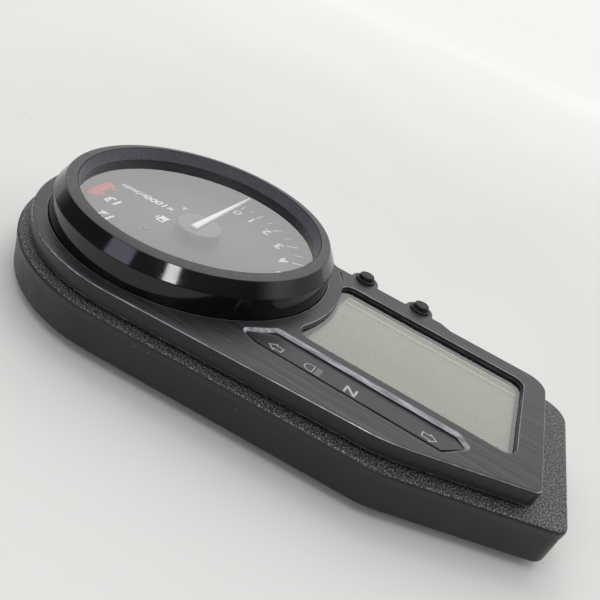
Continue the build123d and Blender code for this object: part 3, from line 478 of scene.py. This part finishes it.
def smoked_lens():
    """Indicator strip: smoked, satin, in the panel's tone and with its brushed lines."""
    s = Shader("smoked_lens", Roughness=0.3, Metallic=0.25)
    lines = s.noise(1.0, 4.0, 0.6, (0.06, 6.0, 2.5))
    tone = s.ramp(lines, (0.3, (0.022, 0.022, 0.025)), (0.7, (0.046, 0.046, 0.051)))
    s.set("Base Color", dust(s, tone, 0.4))
    s.set("Roughness", s.span(lines, 0.3, 0.7, 0.25, 0.36))
    s.bump((lines, 0.02, 0.5))
    return s.material


def board_green():
    """Solder resist with copper tracks just visible under it."""
    s = Shader("board_green", Roughness=0.35)
    tracks = s.ramp(s.cells(0.25, "DISTANCE_TO_EDGE"), (0.06, WHITE), (0.09, BLACK))
    tone = s.mix(s.times(tracks, 0.6), (0.012, 0.075, 0.03), (0.035, 0.16, 0.06))
    s.set("Base Color", tone)
    s.set("Roughness", s.span(s.noise(1.0, 3.0), 0.3, 0.7, 0.28, 0.42))
    s.bump((tracks, 0.03, 0.6))
    return s.material


def floor_white():
    """Pale matte table top with faint specks, which glows a little far away as the backdrop does."""
    s = Shader("floor_white", Roughness=0.4)
    s.set("Specular IOR Level", 0.0)
    cloud = s.noise(0.004, 3.0)
    tone = s.ramp(cloud, (0.3, (0.80, 0.795, 0.78)), (0.7, (0.84, 0.835, 0.82)))
    speck = s.ramp(s.cells(0.045), (0.0, WHITE), (0.02, WHITE), (0.032, BLACK))
    gate = s.ramp(s.noise(0.02, 2.0), (0.52, BLACK), (0.6, WHITE))
    s.set("Base Color", s.mix(s.times(speck, gate, 0.6), tone, (0.25, 0.22, 0.19)))
    s.set("Roughness", s.span(s.noise(0.03, 2.0), 0.3, 0.7, 0.34, 0.46))
    s.set("Emission Strength", s.far(200.0, 1500.0))
    s.set("Emission Color", FAR_GLOW)
    return s.material


# ================================================================ meshes
def placed(name, data, material=None):
    """A new object in the scene from a mesh, a curve, a light or a camera."""
    obj = bpy.data.objects.new(name, data)
    bpy.context.scene.collection.objects.link(obj)
    if material is not None:
        data.materials.clear()
        data.materials.append(material)
    return obj


def from_bmesh(name, bm, material):
    mesh = bpy.data.meshes.new(name)
    bm.to_mesh(mesh)
    bm.free()
    return placed(name, mesh, material)


def fixed(obj):
    """A piece that stays with the housing."""
    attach(obj, "housing")


def plate(bm, points, low, high):
    """A closed prism over a ring of (x, y) points in metres."""
    bottom = [bm.verts.new((x, y, low)) for x, y in points]
    top = [bm.verts.new((x, y, high)) for x, y in points]
    count = len(points)
    bm.faces.new(list(reversed(bottom)))
    bm.faces.new(top)
    for i in range(count):
        j = (i + 1) % count
        bm.faces.new((bottom[i], bottom[j], top[j], top[i]))


def band_plate(bm, outer, inner, low, high):
    """A closed ring-shaped prism between two loops of the same number of points."""
    count = len(outer)
    rings = [[bm.verts.new((x, y, z)) for x, y in loop] for loop in (outer, inner) for z in (low, high)]
    out_low, out_high, in_low, in_high = rings
    for i in range(count):
        j = (i + 1) % count
        bm.faces.new((out_low[i], out_low[j], out_high[j], out_high[i]))
        bm.faces.new((in_low[j], in_low[i], in_high[i], in_high[j]))
        bm.faces.new((out_high[i], out_high[j], in_high[j], in_high[i]))
        bm.faces.new((out_low[j], out_low[i], in_low[i], in_low[j]))


def dial_angle(number):
    """Direction of a scale number, in degrees from +X, on a scale that opens out from zero."""
    squeeze = FIRST_SQUEEZE * (1.0 - math.exp(-number / SQUEEZE_RUN))
    return ZERO_ANGLE - (STEP_ANGLE * number - squeeze + SPREAD * number ** 2)


def polar(radius, angle):
    """A point on the dial from a radius in millimetres and an angle in degrees."""
    turn = math.radians(angle)
    return on_dial(radius * math.cos(turn), radius * math.sin(turn))


def printed(bm, points):
    """Ink on the dial over a loop of points in millimetres from the tachometer axis."""
    plate(bm, [on_dial(x, y) for x, y in points], DIAL_Z, DIAL_Z + PRINT_THICK * MM)


def tick(bm, inner, outer, width, angle):
    turn = math.radians(angle)
    along = Vector((math.cos(turn), math.sin(turn)))
    side = Vector((-along.y, along.x)) * width / 2
    printed(bm, [along * inner - side, along * outer - side, along * outer + side, along * inner + side])


def dial_ticks(white):
    bm = bmesh.new()
    for half in range(2 * LAST_NUMBER - 1):
        whole = half % 2 == 0
        shape = (MAJOR_IN, MAJOR_OUT, MAJOR_WIDE) if whole else (MINOR_IN, MINOR_OUT, MINOR_WIDE)
        tick(bm, *shape, dial_angle(half / 2))
    fixed(from_bmesh("dial_ticks", bm, white))


def red_zone(red):
    """Red band near the end of the scale, with short prongs on its inner side."""
    bm = bmesh.new()
    angles = [dial_angle(RED_START + (RED_END - RED_START) * i / RED_STEPS) for i in range(RED_STEPS + 1)]
    outer = [polar(RED_OUT, angle) for angle in angles]
    inner = [polar(RED_IN, angle) for angle in reversed(angles)]
    plate(bm, outer + inner, DIAL_Z, DIAL_Z + PRINT_THICK * MM)
    for number in RED_TICKS:
        tick(bm, RED_TICK_IN, RED_IN + MAJOR_WIDE, RED_TICK_WIDE, dial_angle(number))
    fixed(from_bmesh("dial_red_zone", bm, red))


def lettering(name, words, size, position, weight, white):
    """Slanted printed text, from the built-in font turned into a mesh."""
    curve = bpy.data.curves.new(name, "FONT")
    curve.body = words
    curve.size = size * MM
    curve.align_x = "CENTER"
    curve.align_y = "CENTER"
    curve.shear = TEXT_SHEAR
    curve.offset = weight * MM
    curve.extrude = PRINT_THICK / 2 * MM
    curve.resolution_u = 4
    text = placed(name, curve)
    bpy.context.view_layer.update()
    mesh = bpy.data.meshes.new_from_object(text.evaluated_get(bpy.context.evaluated_depsgraph_get()))
    bpy.data.objects.remove(text)
    mesh.transform(Matrix.Translation((*position, DIAL_Z + PRINT_THICK / 2 * MM))
                   @ Matrix.Rotation(math.radians(TEXT_TILT), 4, "Z"))
    fixed(placed(name, mesh, white))


def dial_numbers(white):
    for number in range(LAST_NUMBER + 1):
        angle = math.radians(dial_angle(number))
        place = on_dial(NUMERAL_SHIFT + NUMERAL_R * math.cos(angle), NUMERAL_R * math.sin(angle))
        lettering(f"dial_number_{number:02d}", str(number), NUMERAL_SIZE, place, NUMERAL_WEIGHT, white)
    lettering("dial_legend", "×1000r/min", LEGEND_SIZE, on_dial(*LEGEND_POS), LEGEND_WEIGHT, white)


def circle(x, y, radius):
    """Points round a circle about a place on the dial."""
    turns = [2 * math.pi * i / CIRCLE_STEPS for i in range(CIRCLE_STEPS)]
    return [on_dial(x + radius * math.cos(a), y + radius * math.sin(a)) for a in turns]


def fuel_symbol(white):
    """Generic fuel pump beside the warning lamp: body, window, hose and base."""
    x, y = FUEL_POS
    bm = bmesh.new()
    for bar in FUEL_BARS:
        printed(bm, [(x + a * FUEL_SCALE, y + b * FUEL_SCALE) for a, b in rectangle(*bar)])
    fixed(from_bmesh("dial_fuel_symbol", bm, white))


def lamp_ring(material):
    """Printed ring round the fuel lamp."""
    low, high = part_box("fuel_lamp")
    x, y = ((low.x + high.x) / 2 - AXIS.x) / MM, ((low.y + high.y) / 2 - AXIS.y) / MM
    bm = bmesh.new()
    band_plate(bm, circle(x, y, LAMP_RING_R), circle(x, y, LAMP_RING_R - LAMP_RING_WIDE), DIAL_Z,
               DIAL_Z + PRINT_THICK * MM)
    fixed(from_bmesh("dial_lamp_ring", bm, material))


def strip_slope():
    """The lens's sloping top, from its own mesh: inner y, its height, and the rise per metre of y."""
    _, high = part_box("indicator_lens")
    top = {}
    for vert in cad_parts["indicator_lens"].data.vertices:
        if vert.co.z > high.z - STRIP_FALL * MM:
            y = round(vert.co.y, 5)
            top[y] = max(top.get(y, -1.0), vert.co.z)
    inner, outer = min(top), max(top)
    return inner, top[inner], (top[outer] - top[inner]) / (outer - inner)


def inset(points, width):
    """A loop of points moved inwards by an even width, from a loop walked anticlockwise."""
    moved = []
    for i, point in enumerate(points):
        before = Vector(point) - Vector(points[i - 1])
        after = Vector(points[(i + 1) % len(points)]) - Vector(point)
        first = Vector((-before.y, before.x)).normalized()
        second = Vector((-after.y, after.x)).normalized()
        middle = (first + second).normalized()
        moved.append(tuple(Vector(point) + middle * width / max(middle.dot(first), SHARPEST)))
    return moved


def high_beam():
    """Outline of the lamp, flat on one side and round on the other."""
    turns = [math.pi * i / LAMP_STEPS for i in range(LAMP_STEPS + 1)]
    bowl = [(0.9 + 2.2 * math.sin(a), -LAMP_HALF * math.cos(a)) for a in turns]
    return [(-0.4, -LAMP_HALF), *bowl, (-0.4, LAMP_HALF)]


def strip_symbol(kind, x, side, silver, slope):
    """One printed indicator symbol, laid on the sloping lens."""
    bm = bmesh.new()
    thick = PRINT_THICK * MM
    origin_x, origin_y = on_dial(x, SYMBOL_Y)

    def put(points):
        return [(origin_x + a * MM, origin_y + b * MM) for a, b in points]

    def outline(points, width):
        band_plate(bm, put(points), put(inset(points, width)), 0.0, thick)

    if kind == "arrow":
        shape = [(a * side, b) for a, b in ARROW]
        outline(shape if side > 0 else shape[::-1], ARROW_LINE)
    elif kind == "neutral":
        plate(bm, put(LETTER_N), 0.0, thick)
    else:
        outline(high_beam(), LAMP_LINE)
        for y in RAY_Y:
            plate(bm, put(rectangle(*RAY_ENDS, y - RAY_WIDE / 2, y + RAY_WIDE / 2)), 0.0, thick)
    start, height, rise = slope
    for vert in bm.verts:
        vert.co.z += height + rise * (vert.co.y - start)
    end = "right" if x < STRIP_MIDDLE else "left"
    fixed(from_bmesh(f"strip_{kind}_{end}", bm, silver))


def lcd_lines(cut_edge_highlight, film):
    """Two fine painted highlights for the lit cut edges across the LCD near one side, and the film between
    them.
    """
    low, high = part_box("lcd_front_glass")
    first, last = LCD_LINES
    for name, y, width, look in (("lcd_film_edge_highlight", first, LCD_LINE_WIDE[0], cut_edge_highlight),
                                 ("lcd_glass_edge_highlight", last, LCD_LINE_WIDE[1], cut_edge_highlight),
                                 ("lcd_film", (first + last) / 2, last - first - LCD_FILM_GAP, film)):
        bm = bmesh.new()
        corners = rectangle(low.x + LCD_MARGIN * MM, high.x - LCD_MARGIN * MM,
                            (y - width / 2) * MM, (y + width / 2) * MM)
        plate(bm, corners, high.z, high.z + PRINT_THICK * MM)
        fixed(from_bmesh(name, bm, look))


def small_mark(white):
    """Tiny printed angle mark beside the hub."""
    x, y = MARK_POS
    bm = bmesh.new()
    for bar in MARK_BARS:
        printed(bm, [(x + a, y + b) for a, b in rectangle(*bar)])
    fixed(from_bmesh("dial_small_mark", bm, white))


def ring_skin(name, profile, outwards, upwards, material):
    """Skin of revolution over part of the ring, from a profile of radii and heights, moved off it."""
    turns = [2 * math.pi * i / SKIN_STEPS for i in range(SKIN_STEPS)]
    bm = bmesh.new()
    loops = [[bm.verts.new((AXIS.x + (r + outwards) * math.cos(a), AXIS.y + (r + outwards) * math.sin(a),
                            z + upwards)) for a in turns] for r, z in profile]
    for inner, outer in zip(loops, loops[1:]):
        for i in range(SKIN_STEPS):
            j = (i + 1) % SKIN_STEPS
            bm.faces.new((inner[i], outer[i], outer[j], inner[j])).smooth = True
    fixed(from_bmesh(name, bm, material))


def ring_skins(lip, wall):
    """Satin lip over the ring's top, and a greyer skin of painted reflection on the wall that drops from it to
    the lens.
    """
    corners = [vert.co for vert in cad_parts["tach_ring"].data.vertices]
    profile = sorted({(round(math.hypot(co.x - AXIS.x, co.y - AXIS.y), 6), round(co.z, 6)) for co in corners})
    top = [(r, z) for r, z in profile
           if LIP_RADII[0] * MM <= r <= LIP_RADII[1] * MM and z > DIAL_Z + LIP_LEVEL * MM]
    ring_skin("ring_lip_skin", top, 0.0, SKIN_CLEAR * MM, lip)
    # the wall skin carries a painted reflection over the ring's black wall
    foot = min((r, z) for r, z in profile if z > DIAL_Z + RING_WALL_FOOT * MM)
    ring_skin("ring_wall_reflection_skin", [foot, top[0]], -RING_WALL_CLEAR * MM, 0.0, wall)


# ================================================================ dressing the CAD nodes
def dress(material, *names):
    """Give CAD nodes a material."""
    for name in names:
        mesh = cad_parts[name].data
        mesh.materials.clear()
        mesh.materials.append(material)


def dress_all():
    dress(case_plastic(), "rear_case")
    dress(flange_plastic(), "cover_frame")
    dress(brushed_panel(), "face_panel")
    dress(rubber(), "case_gasket", "vent_plug", "tach_lens_seal", "lcd_contact_strip", "button_cap_left",
          "button_cap_right", "button_collar_left", "button_collar_right")
    dress(metal("steel_zinc", (0.62, 0.61, 0.58), 0.32), "case_screws", "board_screws")
    dress(metal("brass", (0.74, 0.56, 0.28), 0.28), "mount_inserts", "connector_pins")
    dress(ring_gloss(), "tach_ring")
    dress(clear_cover("tach_lens", (0.96, 0.97, 0.96), 1.9, 0.01, 0.02), "tach_lens")
    dress(clear_cover("clear_lens", (0.97, 0.98, 0.96), 1.4, 0.015, 0.02), "lcd_pane")
    dress(black_moulding("hood_plastic", 0.011, 0.5), "dial_hood", "lcd_holder", "indicator_light_box")
    dress(dial_black(), "dial_face")
    dress(clear_cover("clear_acrylic", (0.93, 0.95, 0.95), 1.0, 0.08, 0.1), "dial_light_guide")
    dress(paint("amber_lamp", (0.05, 0.042, 0.036), 0.2), "fuel_lamp")
    dress(paint("needle_white", (0.86, 0.87, 0.87), 0.28, 0.03), "needle_pointer")
    dress(smoked_hub(), "needle_hub")
    dress(metal("steel_bright", (0.72, 0.72, 0.72), 0.18), "needle_shaft", "rotor_pin")
    dress(paint("white_plastic", (0.78, 0.77, 0.72), 0.4), "motor_gear")
    dress(metal("magnet", (0.12, 0.12, 0.12), 0.5), "motor_rotor")
    dress(metal("copper", (0.7, 0.33, 0.16), 0.3, (6.0, 1.0, 1.0)), "motor_coils")
    dress(paint("motor_plastic", (0.62, 0.61, 0.56), 0.45), "motor_case", "motor_cover")
    dress(lcd_glass(), "lcd_front_glass", "lcd_rear_glass")
    dress(paint("diffuser", (0.7, 0.72, 0.66), 0.6), "lcd_diffuser")
    dress(paint("led", (0.85, 0.8, 0.55), 0.3), "backlight_leds", "dial_leds", "indicator_leds")
    dress(smoked_lens(), "indicator_lens")
    dress(board_green(), "main_board")
    dress(black_moulding("chip_black", 0.02, 0.4), "board_chips")
    dress(black_moulding("connector_plastic", 0.022, 0.42), "connector_housing")
    dress(black_moulding("switch_plastic", 0.03, 0.45), "switch_body_left", "switch_body_right",
          "switch_plunger_left", "switch_plunger_right")


# ================================================================ stage
def stage():
    """Pale table top that runs on to the horizon."""
    half = FLOOR_SIZE / 2 * MM
    bm = bmesh.new()
    bm.faces.new([bm.verts.new((x, y, 0.0)) for x, y in rectangle(-half, half, -half, half)])
    from_bmesh("floor", bm, floor_white())


def aimed(obj, eye, aim, roll=0.0):
    """Stand a camera or a light at a place, turned to look at another, both in millimetres."""
    eye, aim = Vector(eye) * MM, Vector(aim) * MM
    turn = (aim - eye).to_track_quat("-Z", "Y").to_matrix().to_4x4()
    obj.matrix_world = Matrix.Translation(eye) @ turn @ Matrix.Rotation(math.radians(roll), 4, "Z")


def camera():
    data = bpy.data.cameras.new("camera")
    data.lens = LENS
    data.sensor_width = SENSOR
    data.shift_x, data.shift_y = SHIFT
    data.clip_start = CLIP_START * MM
    obj = placed("camera", data)
    aimed(obj, EYE, AIM, ROLL)
    bpy.context.scene.camera = obj


def panel_light(name, eye, aim, size, power, colour=WHITE):
    data = bpy.data.lights.new(name, "AREA")
    data.shape = "RECTANGLE"
    data.size, data.size_y = size[0] * MM, size[1] * MM
    data.energy = power
    data.color = colour
    aimed(placed(name, data), eye, aim)


def lights():
    """A soft key beyond the object, a broad light overhead and two panes behind the camera."""
    panel_light("key", (150.0, -600.0, 1000.0), ORIGIN, (900.0, 700.0), 2.2)
    panel_light("overhead", (0.0, 200.0, 1000.0), ORIGIN, (800.0, 500.0), 1.5)
    panel_light("near_pane", (-157.0, 739.0, 582.0), (29.0, 48.0, 37.0), (140.0, 110.0), 0.9)
    panel_light("side_pane", (428.0, 730.0, 489.0), (46.0, 52.0, 36.0), (300.0, 160.0), 0.4, (0.80, 0.80, 1.0))


def surroundings():
    """White room: bright wall beyond the object, pale ceiling, dim behind the camera; plain pale backdrop."""
    world = bpy.data.worlds.new("studio")
    bpy.context.scene.world = world
    world.use_nodes = True
    nodes, links = world.node_tree.nodes, world.node_tree.links

    def fade(value, low, high, start, end):
        node = nodes.new("ShaderNodeMapRange")
        node.interpolation_type = "SMOOTHSTEP"
        for key, number in zip(("From Min", "From Max", "To Min", "To Max"), (low, high, start, end)):
            node.inputs[key].default_value = number
        links.new(value, node.inputs["Value"])
        return node.outputs["Result"]

    def combine(operation, first, second):
        node = nodes.new("ShaderNodeMath")
        node.operation = operation
        links.new(first, node.inputs[0])
        links.new(second, node.inputs[1])
        return node.outputs[0]

    coords = nodes.new("ShaderNodeTexCoord")
    split = nodes.new("ShaderNodeSeparateXYZ")
    links.new(coords.outputs["Generated"], split.inputs["Vector"])
    across, up = split.outputs["Y"], split.outputs["Z"]
    wall = combine("MULTIPLY", fade(across, *WALL_SIDE), fade(up, *WALL_RISE))
    wall = combine("MULTIPLY", wall, fade(up, *WALL_FALL))
    ceiling = fade(up, *CEILING)
    room = nodes["Background"]
    room.inputs["Color"].default_value = ROOM
    links.new(combine("ADD", wall, ceiling), room.inputs["Strength"])
    backdrop = nodes.new("ShaderNodeBackground")
    backdrop.inputs["Color"].default_value = BACKDROP
    path = nodes.new("ShaderNodeLightPath")
    mixer = nodes.new("ShaderNodeMixShader")
    links.new(path.outputs["Is Camera Ray"], mixer.inputs[0])
    links.new(room.outputs[0], mixer.inputs[1])
    links.new(backdrop.outputs[0], mixer.inputs[2])
    links.new(mixer.outputs[0], nodes["World Output"].inputs["Surface"])


def build():
    """Materials on the CAD nodes, then the printing, skins and symbols on top of them."""
    white = paint("dial_white", (0.82, 0.84, 0.84), 0.5, 0.04)
    silver = paint("symbol_silver", (0.40, 0.41, 0.43), 0.35, 0.1)
    dress_all()
    ring_skins(ring_lip(), ring_wall())
    dial_ticks(white)
    dial_numbers(white)
    red_zone(red_ink())
    fuel_symbol(white)
    lamp_ring(paint("lamp_ring_ink", (0.09, 0.09, 0.095), 0.5))
    small_mark(white)
    # bright ink for the painted highlights on the LCD's cut edges
    lcd_lines(paint("lcd_edge_highlight", (0.78, 0.78, 0.66), 0.3), paint("lcd_film", (0.27, 0.266, 0.205), 0.3))
    slope = strip_slope()
    for kind, x, side in SYMBOLS:
        strip_symbol(kind, x, side, silver, slope)


camera()
build()
stage()
lights()
surroundings()
bpy.context.scene.view_settings.view_transform = "Standard"
